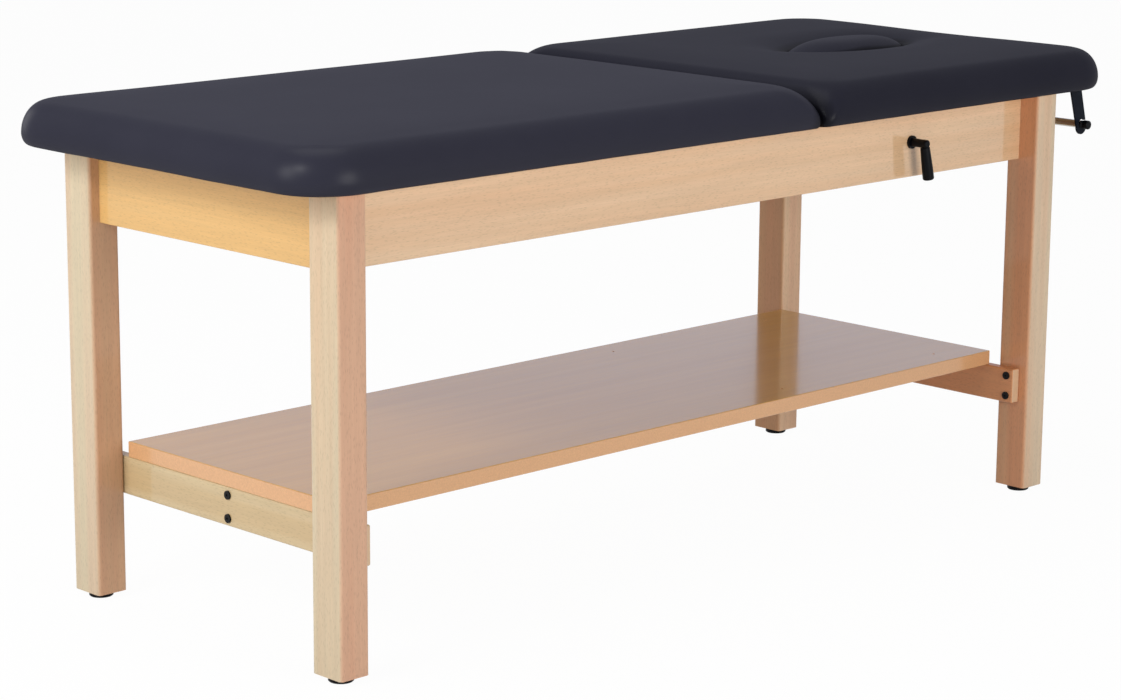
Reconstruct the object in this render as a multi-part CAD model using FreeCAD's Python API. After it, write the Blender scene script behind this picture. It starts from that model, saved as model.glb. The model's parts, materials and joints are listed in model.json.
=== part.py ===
import FreeCAD, Part
import math
import os

V = FreeCAD.Vector

# Treatment table with a beech frame, a lower shelf and a tilting head section.
# Millimetres. X runs along the table to the head end, Y across it (the lever is on the -Y side), Z up.
# The origin is on the floor under the middle of the top.

# Overall size
overall_length = 1830.0
overall_width = 745.0
overall_height = 794.0   # to the top of the face plug
overrun = 1.0            # how far a cut runs past the face it opens
running_gap = 0.05       # radial clearance of a pin in its hole
clear_gap = 0.3          # gap between pieces that pass each other

# Upholstered top
top_thickness = 73.0
board_thickness = 18.0
crown = 3.0
crown_run = 130.0
crown_mid_share = 0.5
crown_run_mid_share = 0.35
crown_corner_radius = 23.0
lower_edge_height = 23.0
lower_edge_inset = 11.0
upper_edge_inset = 39.0
outer_corner_radius = 93.0
split_corner_radius = 22.0
split_top_corner_radius = 62.0
split_lower_inset = 3.0
board_inset = 27.0
split_board_inset = 6.0
head_section_length = 777.0
split_gap = 8.6
lower_arc_steps = 3
upper_arc_steps = 6

# Face opening and its plug
face_from_head_end = 303.0
face_half_length = 144.0
face_half_width = 56.0
face_ledge = 10.0
face_dish_run = 105.0
face_dish_depth = 10.0
face_dish_steps = 6
plug_gap = 0.8
plug_rise = 7.0
plug_dome_height = 17.0
plug_dome_shares = (1.0, 0.97, 0.92, 0.84, 0.72, 0.56, 0.36)
plug_dome_power = 4

# Frame
frame_offset = -12.0
leg_size_x = 54.0
leg_size_y = 64.0
leg_overhang_x = 249.0   # how much farther the top reaches than the leg centres, both ends together
leg_overhang_y = 166.0
leg_edge_radius = 6.0
glide_radius = 19.0
glide_height = 10.0
glide_edge = 1.5
glide_stem_radius = 4.0
glide_stem_length = 25.0
rail_height = 118.0
rail_thickness = 25.0
long_rail_setback = 38.0
end_rail_setback = 19.0
rail_edge_radius = 2.0
cross_rail_height = 60.0
cross_rail_from_split = 90.0
dowel_radius = 5.0
dowel_length = 36.0
long_dowel_pitch = 70.0
end_dowel_pitch = 40.0
cross_dowel_pitch = 30.0

# Shelf and stretchers
stretcher_height = 61.0
stretcher_thickness = 19.0
stretcher_bottom = 165.0
stretcher_end_setback = 18.0
stretcher_edge_radius = 3.0
beam_thickness = 22.0
shelf_thickness = 25.0
shelf_side_gap = 10.5
shelf_head_inset = 13.0
shelf_edge_radius = 1.5
shelf_hole_radius = 2.5
shelf_hole_depth = 12.0
shelf_hole_from_head_end = 474.0
shelf_hole_pitch_x = 401.0
shelf_hole_pitch_y = 396.0
shelf_dowel_radius = 4.0
shelf_dowel_length = 24.0
shelf_dowel_from_end = 84.5
shelf_dowel_count = 4

# Connector bolts with inserts in the legs and barrel nuts in the beam
bolt_radius = 3.0
bolt_head_radius = 6.8
bolt_head_height = 2.5
bolt_socket_radius = 2.0
bolt_socket_depth = 1.5
bolt_pitch = 36.0
bolt_reach = 30.0
bolt_tip = 6.0
barrel_radius = 5.0
barrel_length = 18.0
leg_insert_radius = 4.5
leg_insert_length = 16.0

# Hinges at the split
hinge_from_rail = 53.5
hinge_axis_above_frame = 36.0
hinge_width = 70.0
hinge_leaf_thickness = 2.0
hinge_flange_length = 46.0
hinge_barrel_radius = 4.4
hinge_pin_radius = 2.5
hinge_pin_head_radius = 4.0
hinge_pin_head_height = 1.5
hinge_knuckles = 5
hinge_knuckle_gap = 0.3
hinge_screw_pitch = 40.0

# Wood screws
screw_radius = 2.0
screw_length = 14.0
screw_head_radius = 4.0
screw_head_height = 2.2

# Angle brackets between rails and main board
bracket_leg = 30.0
bracket_width = 25.0
bracket_thickness = 2.5
bracket_from_foot = 200.0
bracket_from_split = 293.0
bracket_screw_share = 0.6

# Tilt stay, its track and clamp
clamp_place_share = 0.533165   # of the way from the split to the stay's tip
clamp_below_top = 59.0
stud_radius = 4.0
stud_head_radius = 11.0
stud_head_height = 4.0
stud_hole_gap = 0.2
stud_end_gap = 1.0
washer_radius = 15.0
washer_thickness = 2.5
stay_width = 20.0
stay_thickness = 5.0
stay_glide_radius = 8.5
stay_glide_length = 11.0
stay_pin_radius = 3.0
stay_pin_head_radius = 5.0
stay_pin_head_height = 2.0
track_wall = 2.0
track_clearance = 1.5
track_side_gap = 1.0
track_from_head_rail = 14.0
track_past_tip = 14.0
track_from_split = 115.2
track_screw_from_end = 30.0
track_screw_count = 4

# Clamp lever
lever_flange_radius = 11.0
lever_flange_height = 4.0
lever_hub_radius = 7.0
lever_hub_length = 29.0
lever_hub_edge = 2.5
lever_grip_length = 62.0
lever_grip_shoulder = 6.0
lever_grip_radius_neck = 6.2
lever_grip_radius_top = 8.0
lever_grip_radius_mid = 9.1
lever_grip_radius_end = 9.6
lever_grip_edge_top = 1.2
lever_grip_edge = 3.0
lever_grip_lean_deg = 2.1
lever_grip_turn_deg = 9.8
insert_radius = 5.5
insert_length = 16.0

# Paper-roll holder under the head end
rod_from_head_end = 55.0
rod_below_frame = 62.0
rod_radius = 6.8
rod_end_inset = 24.0
knob_radius = 7.8
knob_length = 10.0
knob_wall = 2.5
knob_edge = 2.0
paper_bracket_inset = 37.5
paper_bracket_thickness = 3.0
paper_bracket_width = 30.0
paper_bracket_lean = 19.0
paper_bracket_flange = 34.0
paper_bracket_lobe_radius = 14.0
paper_bracket_lobe_drop = 3.5
paper_bracket_screw_pitch = 16.0
slot_seat_radius = 8.0
slot_mouth_rise = 7.0

# Places that follow from the sizes above
pad_top = overall_height - plug_rise
frame_top = pad_top - top_thickness
half_length = overall_length / 2
half_width = overall_width / 2
split_x = half_length - head_section_length
upper_edge_height = top_thickness - crown - lower_edge_height
face_x = half_length - face_from_head_end
plug_rim = overall_height - plug_dome_height
leg_x = (overall_length - leg_overhang_x) / 2
leg_y = (overall_width - leg_overhang_y) / 2
leg_inner_x = leg_x - leg_size_x / 2
leg_inner_y = leg_y - leg_size_y / 2
leg_outer_x = leg_x + leg_size_x / 2
leg_outer_y = leg_y + leg_size_y / 2
rail_bottom = frame_top - rail_height
rail_mid_z = frame_top - rail_height / 2
long_rail_face = leg_outer_y - long_rail_setback
long_rail_inner = long_rail_face - rail_thickness
end_rail_face = leg_outer_x - end_rail_setback
end_rail_inner = end_rail_face - rail_thickness
cross_rail_x = split_x - cross_rail_from_split
cross_mid_z = frame_top - cross_rail_height / 2
stretcher_top = stretcher_bottom + stretcher_height
stretcher_mid_z = stretcher_bottom + stretcher_height / 2
stretcher_inner_x = leg_inner_x - stretcher_thickness
shelf_top = stretcher_top + shelf_thickness
shelf_half_width = leg_inner_y - shelf_side_gap
shelf_hole_x = half_length - shelf_hole_from_head_end
board_top = frame_top + board_thickness
hinge_z = frame_top + hinge_axis_above_frame
main_end_x = split_x - split_gap / 2
head_end_x = split_x + split_gap / 2
hinge_y = long_rail_inner - hinge_from_rail
track_start_x = head_end_x + track_from_split
track_far_x = frame_offset + end_rail_inner - track_from_head_rail
track_length = track_far_x - track_start_x
stay_tip_x = track_far_x - track_past_tip
clamp_x = split_x + clamp_place_share * (stay_tip_x - split_x)
clamp_z = frame_top - clamp_below_top
stay_outer_y = -long_rail_inner + washer_thickness
stay_inner_y = stay_outer_y + stay_thickness
track_mouth_y = stay_inner_y + track_side_gap
track_inner_height = 2 * (stay_glide_radius + track_clearance)
track_axis_z = frame_top - track_wall - track_inner_height / 2
stay_tip_z = track_axis_z
stay_length = math.hypot(stay_tip_x - clamp_x, stay_tip_z - clamp_z)
rod_x = half_length - rod_from_head_end
rod_z = frame_top - rod_below_frame
rod_end_y = half_width - rod_end_inset
paper_bracket_y = half_width - paper_bracket_inset

X = V(1, 0, 0)
Y = V(0, 1, 0)
Z = V(0, 0, 1)
ends = (("foot", -1), ("head", 1))
sides = (("front", -1), ("back", 1))


def block(x0, x1, y0, y1, z0, z1):
    """A box between two corners, given in any order."""
    low = V(min(x0, x1), min(y0, y1), min(z0, z1))
    return Part.makeBox(abs(x1 - x0), abs(y1 - y0), abs(z1 - z0), low)


def rod(start, direction, radius, length):
    return Part.makeCylinder(radius, length, start, direction)


def tube(start, direction, radius, bore, length):
    hole = rod(start - direction * overrun, direction, bore, length + 2 * overrun)
    return rod(start, direction, radius, length).cut(hole)


def straight_edges(shape, direction):
    """The edges that run in one direction."""
    nearly_zero_share = 1e-6
    return [edge for edge in shape.Edges
            if edge.tangentAt(edge.FirstParameter).cross(direction).Length < nearly_zero_share]


def soften(shape, direction, radius):
    return shape.makeFillet(radius, straight_edges(shape, direction))


def group(solids):
    return Part.makeCompound(solids)


def drill(shape, tools):
    return shape.cut(tools) if tools else shape


# Fasteners

def connector_bolt(face, direction, length):
    """Bolt whose head sits on a face and whose shank runs in along the direction."""
    shank = rod(face, direction, bolt_radius, length)
    head = rod(face - direction * bolt_head_height, direction, bolt_head_radius, bolt_head_height)
    socket = rod(face - direction * (bolt_head_height + overrun), direction,
                 bolt_socket_radius, bolt_socket_depth + overrun)
    return shank.fuse(head).removeSplitter().cut(socket)


def wood_screw(face, direction, length=screw_length):
    """Screw with its head on a face and its point along the direction."""
    head = rod(face - direction * screw_head_height, direction, screw_head_radius, screw_head_height)
    return head.fuse(rod(face, direction, screw_radius, length)).removeSplitter()


def wood_screw_hole(face, direction, length=screw_length):
    return rod(face, direction, screw_radius, length)


# Places of the joints in the frame

def leg_centre(end, side):
    return V(frame_offset + end * leg_x, side * leg_y, 0)


def long_rail_dowels():
    """Dowels between the long rails and the legs, along X."""
    pins = []
    for _, end in ends:
        for _, side in sides:
            for level in (-1, 1):
                x = frame_offset + end * leg_inner_x - dowel_length / 2
                y = side * (long_rail_face - rail_thickness / 2)
                z = rail_mid_z + level * long_dowel_pitch / 2
                pins.append(rod(V(x, y, z), X, dowel_radius, dowel_length))
    return pins


def end_rail_dowels():
    """Dowels between the end rails and the legs, along Y."""
    pins = []
    for _, end in ends:
        for _, side in sides:
            for level in (-1, 1):
                x = frame_offset + end * (end_rail_face - rail_thickness / 2)
                y = side * leg_inner_y - dowel_length / 2
                z = rail_mid_z + level * end_dowel_pitch / 2
                pins.append(rod(V(x, y, z), Y, dowel_radius, dowel_length))
    return pins


def cross_rail_dowels():
    """Dowels between the cross rail and the long rails, along Y."""
    pins = []
    for _, side in sides:
        for level in (-1, 1):
            y = side * long_rail_inner - dowel_length / 2
            z = cross_mid_z + level * cross_dowel_pitch / 2
            pins.append(rod(V(cross_rail_x, y, z), Y, dowel_radius, dowel_length))
    return pins


def shelf_dowels():
    """Dowels between the shelf and the beam under it."""
    reach = stretcher_inner_x - shelf_dowel_from_end
    pitch = 2 * reach / (shelf_dowel_count - 1)
    z = stretcher_top - shelf_dowel_length / 2
    return [rod(V(frame_offset - reach + number * pitch, 0, z), Z, shelf_dowel_radius, shelf_dowel_length)
            for number in range(shelf_dowel_count)]


def bolt_levels():
    return [stretcher_mid_z + level * bolt_pitch / 2 for level in (-1, 1)]


def stretcher_bolts():
    """Bolts from the stretchers' inner faces into the legs."""
    bolts = []
    for _, end in ends:
        for _, side in sides:
            for z in bolt_levels():
                face = V(frame_offset + end * stretcher_inner_x, side * leg_y, z)
                bolts.append(connector_bolt(face, X * end, stretcher_thickness + leg_insert_length))
    return bolts


def beam_bolts():
    """Bolts from the stretchers' outer faces into the ends of the beam."""
    bolts = []
    for _, end in ends:
        for z in bolt_levels():
            face = V(frame_offset + end * leg_inner_x, 0, z)
            bolts.append(connector_bolt(face, X * -end, stretcher_thickness + bolt_reach + bolt_tip))
    return bolts


def leg_inserts():
    """Threaded inserts in the legs, behind the stretchers."""
    inserts = []
    for _, end in ends:
        for _, side in sides:
            for z in bolt_levels():
                face = V(frame_offset + end * leg_inner_x, side * leg_y, z)
                inserts.append(rod(face, X * end, leg_insert_radius, leg_insert_length))
    return inserts


def beam_barrels(extra=0):
    """Barrel nuts in the beam, put in from its back; the extra length opens their holes there."""
    nuts = []
    for _, end in ends:
        for z in bolt_levels():
            x = frame_offset + end * (stretcher_inner_x - bolt_reach)
            nuts.append(rod(V(x, -barrel_length / 2, z), Y, barrel_radius, barrel_length + extra))
    return nuts


def threaded(nuts, bolts):
    """Nuts or inserts with the holes that their bolts run through."""
    return group([drill(nut, near(bolts, nut)) for nut in nuts])


# Frame pieces

def leg(end, side):
    centre = leg_centre(end, side)
    body = block(centre.x - leg_size_x / 2, centre.x + leg_size_x / 2,
                 centre.y - leg_size_y / 2, centre.y + leg_size_y / 2, glide_height, frame_top)
    body = soften(body, Z, leg_edge_radius)
    stem = rod(V(centre.x, centre.y, glide_height), Z, glide_stem_radius, glide_stem_length)
    tools = [stem] + long_rail_dowels() + end_rail_dowels() + leg_inserts()
    return drill(body, near(tools, body))


def near(tools, body):
    return [tool for tool in tools if tool.BoundBox.intersect(body.BoundBox)]


def leg_glides():
    solids = []
    for _, end in ends:
        for _, side in sides:
            centre = leg_centre(end, side)
            disc = rod(centre, Z, glide_radius, glide_height)
            foot = [edge for edge in disc.Edges if edge.BoundBox.ZMax < glide_height / 2]
            disc = disc.makeChamfer(glide_edge, foot)
            stem = rod(V(centre.x, centre.y, glide_height), Z, glide_stem_radius, glide_stem_length)
            solids.append(disc.fuse(stem))
    return group(solids)


def long_rail(side):
    body = block(frame_offset - leg_inner_x, frame_offset + leg_inner_x,
                 side * long_rail_inner, side * long_rail_face, rail_bottom, frame_top)
    body = soften(body, X, rail_edge_radius)
    tools = near(long_rail_dowels() + cross_rail_dowels() + rail_screw_holes(side), body)
    if side < 0:
        tools.append(rod(V(clamp_x, -long_rail_face - overrun, clamp_z), Y,
                         stud_radius + stud_hole_gap, rail_thickness + 2 * overrun))
    return drill(body, tools)


def end_rail(end):
    body = block(frame_offset + end * end_rail_inner, frame_offset + end * end_rail_face,
                 -leg_inner_y, leg_inner_y, rail_bottom, frame_top)
    body = soften(body, Y, rail_edge_radius)
    return drill(body, near(end_rail_dowels(), body))


def cross_rail():
    body = block(cross_rail_x - rail_thickness / 2, cross_rail_x + rail_thickness / 2,
                 -long_rail_inner, long_rail_inner, frame_top - cross_rail_height, frame_top)
    return drill(body, near(cross_rail_dowels(), body))


def stretcher(end):
    body = block(frame_offset + end * stretcher_inner_x, frame_offset + end * leg_inner_x,
                 stretcher_end_setback - leg_outer_y, leg_outer_y - stretcher_end_setback,
                 stretcher_bottom, stretcher_top)
    body = body.makeFillet(stretcher_edge_radius, body.Edges)
    return drill(body, near(stretcher_bolts() + beam_bolts(), body))


def shelf_beam():
    body = block(frame_offset - stretcher_inner_x, frame_offset + stretcher_inner_x,
                 -beam_thickness / 2, beam_thickness / 2, stretcher_bottom, stretcher_top)
    return drill(body, near(beam_bolts() + beam_barrels(extra=beam_thickness) + shelf_dowels(), body))


def shelf():
    body = block(frame_offset - leg_inner_x, frame_offset + leg_inner_x - shelf_head_inset,
                 -shelf_half_width, shelf_half_width, stretcher_top, shelf_top)
    body = body.makeFillet(shelf_edge_radius, body.Edges)
    holes = []
    for step_x in (-1, 1):
        for step_y in (-1, 1):
            place = V(shelf_hole_x + step_x * shelf_hole_pitch_x / 2,
                      step_y * shelf_hole_pitch_y / 2, shelf_top - shelf_hole_depth)
            holes.append(rod(place, Z, shelf_hole_radius, shelf_hole_depth + overrun))
    return drill(body, holes + near(shelf_dowels(), body))


# Upholstered top

def outline(x0, x1, y, radii, z):
    """Closed line of four sides and four corner arcs; radii start at the low-X, low-Y corner and go round."""
    corners = [(x0, -y, 1, 1), (x1, -y, -1, 1), (x1, y, -1, -1), (x0, y, 1, -1)]
    points = []
    for (cx, cy, sx, sy), r in zip(corners, radii):
        middle = r * (1 - math.cos(math.pi / 4))
        on_x_side = V(cx, cy + sy * r, z)
        on_y_side = V(cx + sx * r, cy, z)
        bend = V(cx + sx * middle, cy + sy * middle, z)
        points.append((on_x_side, bend, on_y_side) if sx * sy > 0 else (on_y_side, bend, on_x_side))
    edges = []
    for index, (first, bend, last) in enumerate(points):
        following = points[(index + 1) % len(points)][0]
        edges.append(Part.Arc(first, bend, last).toShape())
        edges.append(Part.LineSegment(last, following).toShape())
    return Part.Wire(edges)


def edge_levels():
    """Height above the frame, and how far the outline is drawn in at the free edges and at the split."""
    levels = []
    for step in range(lower_arc_steps + 1):
        turn = math.pi / 2 * step / lower_arc_steps
        drawn = lower_edge_inset * (1 - math.sin(turn))
        drawn_at_split = split_lower_inset * (1 - math.sin(turn))
        levels.append((lower_edge_height * (1 - math.cos(turn)), drawn, drawn_at_split))
    for step in range(1, upper_arc_steps + 1):
        turn = math.pi / 2 * step / upper_arc_steps
        drawn = upper_edge_inset * (1 - math.cos(turn))
        levels.append((lower_edge_height + upper_edge_height * math.sin(turn), drawn, drawn))
    drawn = upper_edge_inset + crown_run * crown_run_mid_share
    levels.append((top_thickness - crown * crown_mid_share, drawn, drawn))
    levels.append((top_thickness, upper_edge_inset + crown_run, upper_edge_inset + crown_run))
    return levels


def pad_form(free_x, split_end_x):
    """Crowned pad from its free end to its end at the split."""
    toward = 1 if split_end_x > free_x else -1
    wires = []
    for height, drawn, drawn_at_split in edge_levels():
        free = free_x + toward * drawn
        inner = split_end_x - toward * drawn_at_split
        outer_r = max(outer_corner_radius - drawn, crown_corner_radius)
        blend_share = max(0.0, (height - lower_edge_height) / (top_thickness - lower_edge_height))
        split_r = split_corner_radius + (split_top_corner_radius - split_corner_radius) * blend_share
        radii = (outer_r, split_r, split_r, outer_r) if toward > 0 else (split_r, outer_r, outer_r, split_r)
        wires.append(outline(min(free, inner), max(free, inner), half_width - drawn, radii,
                             frame_top + height))
    return Part.makeLoft(wires, True, True)


def board_form(free_x, split_end_x):
    toward = 1 if split_end_x > free_x else -1
    free = free_x + toward * board_inset
    inner = split_end_x - toward * split_board_inset
    outer_r = outer_corner_radius - board_inset
    radii = (outer_r, split_corner_radius, split_corner_radius, outer_r)
    if toward < 0:
        radii = (split_corner_radius, outer_r, outer_r, split_corner_radius)
    wire = outline(min(free, inner), max(free, inner), half_width - board_inset, radii, frame_top)
    return Part.Face(wire).extrude(Z * board_thickness)


def oval_wire(half_long, half_wide, z):
    return Part.Wire(Part.Ellipse(V(face_x, 0, z), half_long, half_wide).toShape())


def oval(grow, z0, z1):
    wire = oval_wire(face_half_length + grow, face_half_width + grow, z0)
    return Part.Face(wire).extrude(Z * (z1 - z0))


def face_dish():
    """Hollow round the face opening, where the cover is drawn down into it."""
    wires = []
    for step in range(-1, face_dish_steps + 1):
        share = step / face_dish_steps
        grow = face_dish_run * (1 - share)
        depth = face_dish_depth * (1 - math.cos(math.pi / 2 * share))
        z = pad_top - depth if step >= 0 else pad_top + overrun
        wires.append(oval_wire(face_half_length + grow, face_half_width + grow, z))
    return Part.makeLoft(wires, True, True)


def main_board():
    return drill(board_form(-half_length, main_end_x), bracket_board_holes() + hinge_screw_holes(-1))


def main_cushion():
    return pad_form(-half_length, main_end_x).cut(board_form(-half_length, main_end_x))


def head_board():
    tools = [oval(-face_ledge, frame_top - overrun, board_top + overrun)]
    tools += hinge_screw_holes(1) + track_screw_holes() + paper_bracket_screw_holes()
    return drill(board_form(half_length, head_end_x), tools)


def head_cushion():
    pad = pad_form(half_length, head_end_x).cut(board_form(half_length, head_end_x))
    return pad.cut(face_dish()).cut(oval(0, frame_top - overrun, overall_height + overrun))


def plug_board():
    """Fits the smaller opening in the board, so the plug's pad rests on the ledge round it."""
    return oval(-face_ledge - plug_gap, frame_top, board_top)


def plug_cushion():
    """Pad with a domed top."""
    highest = 1 - plug_dome_shares[-1] ** plug_dome_power
    wires = [oval_wire((face_half_length - plug_gap) * share, (face_half_width - plug_gap) * share,
                       plug_rim + plug_dome_height * (1 - share ** plug_dome_power) / highest)
             for share in plug_dome_shares]
    dome = Part.makeLoft(wires, True, False)
    return oval(-plug_gap, board_top, plug_rim).fuse(dome).removeSplitter()


# Hinges at the split

def hinge_parts(side, toward):
    """One leaf: a flange under the board, a web up the split, and its share of the knuckles."""
    y0 = side * hinge_y - hinge_width / 2
    web_x = split_x + toward * split_gap / 2
    web = block(web_x, web_x - toward * hinge_leaf_thickness, y0, y0 + hinge_width,
                frame_top - hinge_leaf_thickness, hinge_z)
    flange = block(web_x, web_x + toward * hinge_flange_length, y0, y0 + hinge_width,
                   frame_top - hinge_leaf_thickness, frame_top)
    leaf = web.fuse(flange)
    axis_start = V(split_x, y0 - overrun, hinge_z)
    relief = rod(axis_start, Y, hinge_barrel_radius + clear_gap, hinge_width + 2 * overrun)
    leaf = leaf.cut(relief)
    pitch = hinge_width / hinge_knuckles
    for number in range(hinge_knuckles):
        mine = (number % 2 == 0) == (toward < 0)
        if not mine:
            continue
        start = y0 + number * pitch + hinge_knuckle_gap / 2
        span = pitch - hinge_knuckle_gap
        barrel = rod(V(split_x, start, hinge_z), Y, hinge_barrel_radius, span)
        arm = block(split_x, web_x, start, start + span,
                    hinge_z - hinge_barrel_radius - split_gap, hinge_z)
        arm = arm.common(web_slab(web_x, toward, start, span))
        leaf = leaf.fuse(barrel).fuse(arm)
    bore = hinge_pin_radius + running_gap if toward > 0 else hinge_pin_radius
    leaf = leaf.removeSplitter().cut(rod(axis_start, Y, bore, hinge_width + 2 * overrun))
    return drill(leaf, hinge_screw_places(side, toward, leaf_holes=True))


def web_slab(web_x, toward, start, span):
    return block(web_x, web_x - toward * hinge_leaf_thickness, start, start + span,
                 frame_top, hinge_z)


def hinge_screw_places(side, toward, leaf_holes=False):
    shapes = []
    for step in (-1, 1):
        face = V(split_x + toward * (split_gap + hinge_flange_length) / 2,
                 side * hinge_y + step * hinge_screw_pitch / 2, frame_top - hinge_leaf_thickness)
        shapes.append(wood_screw_hole(face, Z) if leaf_holes else wood_screw(face, Z))
    return shapes


def hinge_screw_holes(toward):
    return [hole for _, side in sides for hole in hinge_screw_places(side, toward, leaf_holes=True)]


def hinge_screws(toward):
    return group([screw for _, side in sides for screw in hinge_screw_places(side, toward)])


def hinge_pin(side):
    start = V(split_x, side * hinge_y - hinge_width / 2, hinge_z)
    pin = rod(start, Y, hinge_pin_radius, hinge_width)
    head = rod(start - Y * hinge_pin_head_height, Y, hinge_pin_head_radius, hinge_pin_head_height)
    return pin.fuse(head).removeSplitter()


# Angle brackets that hold the main board

def bracket_places():
    places = []
    for _, side in sides:
        for x in (bracket_from_foot - half_length, split_x - bracket_from_split):
            places.append((x, side))
    return places


def board_brackets():
    solids = []
    for x, side in bracket_places():
        face = side * long_rail_inner
        wall = block(x, x + bracket_width, face, face - side * bracket_thickness,
                     frame_top - bracket_leg, frame_top)
        arm = block(x, x + bracket_width, face, face - side * bracket_leg,
                    frame_top - bracket_thickness, frame_top)
        angle = wall.fuse(arm).removeSplitter()
        solids.append(drill(angle, bracket_screw_shapes(x, side, holes=True)))
    return group(solids)


def bracket_screw_shapes(x, side, holes=False):
    make = wood_screw_hole if holes else wood_screw
    middle = x + bracket_width / 2
    far = bracket_leg * bracket_screw_share
    into_board = make(V(middle, side * (long_rail_inner - far), frame_top - bracket_thickness), Z)
    into_rail = make(V(middle, side * (long_rail_inner - bracket_thickness), frame_top - far), Y * side)
    return [into_board, into_rail]


def bracket_screws():
    return group([screw for x, side in bracket_places() for screw in bracket_screw_shapes(x, side)])


def bracket_board_holes():
    return [bracket_screw_shapes(x, side, holes=True)[0] for x, side in bracket_places()]


def rail_screw_holes(rail_side):
    return [bracket_screw_shapes(x, side, holes=True)[1] for x, side in bracket_places() if side == rail_side]


# Tilt stay

def clamp_stud():
    shank = rod(V(clamp_x, stay_inner_y, clamp_z), -Y, stud_radius,
                stay_inner_y + long_rail_face + lever_flange_height + insert_length - stud_end_gap)
    head = rod(V(clamp_x, stay_inner_y, clamp_z), Y, stud_head_radius, stud_head_height)
    return shank.fuse(head).removeSplitter()


def friction_washer():
    return tube(V(clamp_x, -long_rail_inner, clamp_z), Y, washer_radius, stud_radius + stud_hole_gap,
                washer_thickness)


def stay_arm():
    """Flat bar with round ends from the clamp to the glide."""
    pivot = V(clamp_x, stay_outer_y, clamp_z)
    tip = V(stay_tip_x, stay_outer_y, stay_tip_z)
    run = tip - pivot
    bar = Part.makeBox(stay_length, stay_thickness, stay_width, V(0, 0, -stay_width / 2))
    bar.rotate(V(0, 0, 0), -Y, math.degrees(math.atan2(run.z, run.x)))
    bar.translate(pivot)
    for place in (pivot, tip):
        bar = bar.fuse(rod(place, Y, stay_width / 2, stay_thickness))
    bar = bar.removeSplitter()
    bore = rod(pivot - Y * overrun, Y, stud_radius + running_gap, stay_thickness + 2 * overrun)
    pin_hole = rod(tip - Y * overrun, Y, stay_pin_radius, stay_thickness + 2 * overrun)
    return bar.cut(bore).cut(pin_hole)


def stay_glide():
    return tube(V(stay_tip_x, stay_inner_y, stay_tip_z), Y, stay_glide_radius, stay_pin_radius,
                stay_glide_length)


def stay_pin():
    start = V(stay_tip_x, stay_outer_y, stay_tip_z)
    shank = rod(start, Y, stay_pin_radius, stay_thickness + stay_glide_length)
    far = start + Y * (stay_thickness + stay_glide_length)
    head = rod(far, Y, stay_pin_head_radius, stay_pin_head_height)
    return shank.fuse(head).removeSplitter()


def stay_track():
    """Channel under the head board, open toward the rail, for the stay's glide."""
    depth = stay_glide_length + stay_pin_head_height + track_clearance
    outer = block(track_start_x, track_far_x, track_mouth_y, track_mouth_y + depth + track_wall,
                  frame_top - 2 * track_wall - track_inner_height, frame_top)
    inner = block(track_start_x - overrun, track_far_x + overrun,
                  track_mouth_y - overrun, track_mouth_y + depth,
                  frame_top - track_wall - track_inner_height, frame_top - track_wall)
    return drill(outer.cut(inner), track_screw_holes())


def track_screw_places():
    """Flat-headed screws up through the track's top, in line with its back wall."""
    depth = stay_glide_length + stay_pin_head_height + track_clearance
    pitch = (track_length - 2 * track_screw_from_end) / (track_screw_count - 1)
    x0 = track_start_x + track_screw_from_end
    return [V(x0 + number * pitch, track_mouth_y + depth / 2, frame_top - track_wall)
            for number in range(track_screw_count)]


def track_screw_holes():
    return [wood_screw_hole(place, Z) for place in track_screw_places()]


def track_screws():
    """Countersunk flush, so the glide passes under them."""
    return group([wood_screw_hole(place, Z) for place in track_screw_places()])


# Clamp lever

def lever_axis_point(outward):
    return V(clamp_x, -long_rail_face - outward, clamp_z)


def lever_grip():
    """Turned grip along Z with a shoulder under its neck, a little fuller toward its end."""
    side = [V(lever_grip_radius_top, 0, lever_grip_shoulder),
            V(lever_grip_radius_mid, 0, lever_grip_length / 2),
            V(lever_grip_radius_end, 0, lever_grip_length)]
    neck = V(lever_grip_radius_neck, 0, 0)
    back = Part.makePolygon([side[-1], V(0, 0, lever_grip_length), V(0, 0, 0), neck,
                             V(lever_grip_radius_neck, 0, lever_grip_shoulder), side[0]])
    wire = Part.Wire([Part.Arc(*side).toShape()] + back.Edges)
    grip = Part.Face(wire).revolve(V(0, 0, 0), Z, 360)
    far = [edge for edge in grip.Edges if edge.BoundBox.ZMin > lever_grip_length / 2 and edge.Closed]
    grip = grip.makeFillet(lever_grip_edge, far)
    rim = (lever_grip_radius_neck + lever_grip_radius_top) / 2
    top = [edge for edge in grip.Edges if edge.Closed and edge.BoundBox.XMax > rim
           and edge.BoundBox.ZMax < lever_grip_length / 4]
    return grip.makeFillet(lever_grip_edge_top, top)


def clamp_lever():
    flange = rod(lever_axis_point(0), -Y, lever_flange_radius, lever_flange_height)
    hub = rod(lever_axis_point(0), -Y, lever_hub_radius, lever_hub_length + lever_hub_radius)
    front = [edge for edge in hub.Edges
             if edge.BoundBox.YMax < -long_rail_face - lever_hub_length]
    hub = hub.makeFillet(lever_hub_edge, front)
    grip = lever_grip()
    grip.rotate(V(0, 0, 0), X, 180 - lever_grip_lean_deg)
    grip.rotate(V(0, 0, 0), Y, -lever_grip_turn_deg)
    grip.translate(lever_axis_point(lever_hub_length))
    lever = flange.fuse(hub).fuse(grip).removeSplitter()
    bore = rod(lever_axis_point(-overrun), -Y, insert_radius, lever_flange_height + insert_length + overrun)
    return lever.cut(bore)


def lever_insert():
    length = lever_flange_height + insert_length
    return tube(lever_axis_point(0), -Y, insert_radius, stud_radius + running_gap, length)


# Paper-roll holder

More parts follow.
